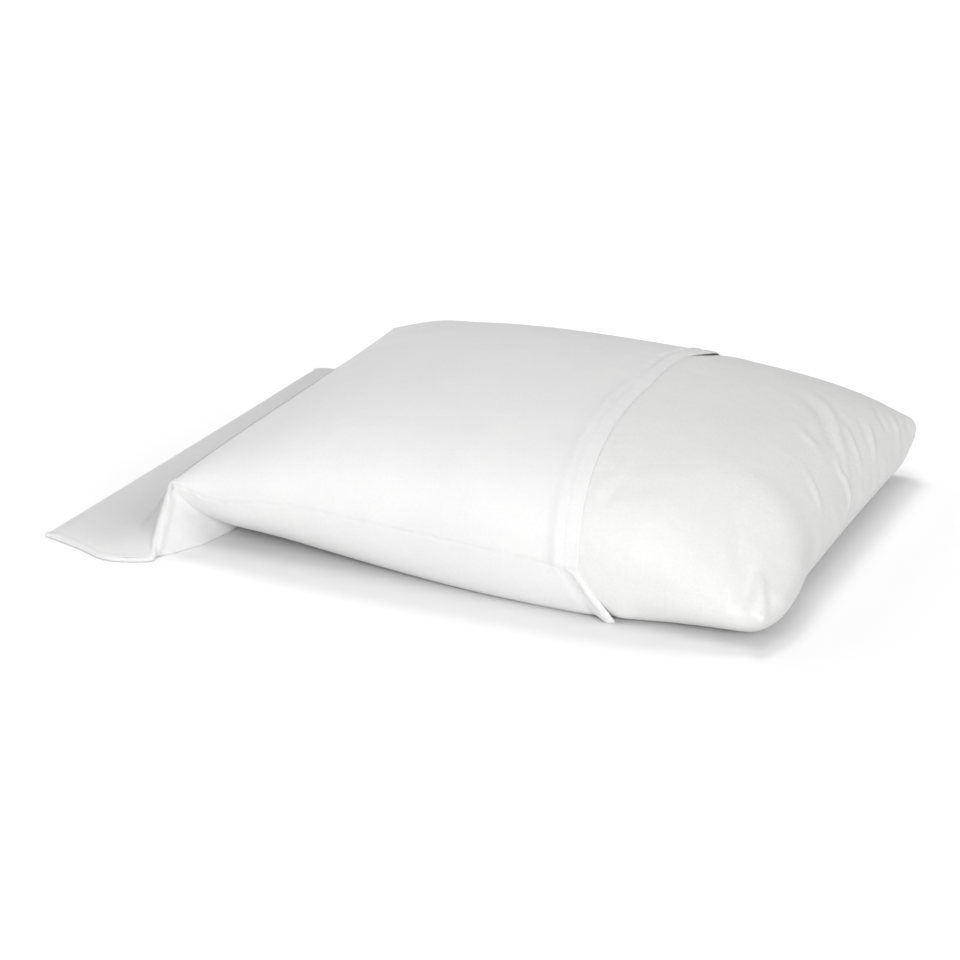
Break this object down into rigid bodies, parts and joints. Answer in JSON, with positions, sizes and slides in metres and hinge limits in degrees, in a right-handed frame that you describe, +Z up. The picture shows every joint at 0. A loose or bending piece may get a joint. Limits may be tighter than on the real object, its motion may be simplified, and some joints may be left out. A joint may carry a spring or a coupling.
{
  "type": "pillow protector on a pillow",
  "caption": "White pillow protector drawn part of the way over a soft pillow, its hemmed mouth across the pillow and its empty closed end lying flat.",
  "frame": {"origin": "on the surface it lies on, under the middle of the whole object", "axes": "+X along the pillow from the protector's closed end to the pillow's bare end, +Y from the near long side to the far one, +Z up"},
  "size_m": [0.6544, 0.5174, 0.1314],
  "materials": {
    "pillow_cloth": "smooth fine woven cover, matt white with a faint sheen",
    "protector_cloth": "plain closely woven cotton, matt white"
  },
  "bodies": {
    "root": {"pillow": "pillow_cloth", "upper_panel": "protector_cloth", "lower_panel": "protector_cloth"}
  },
  "joints": []
}
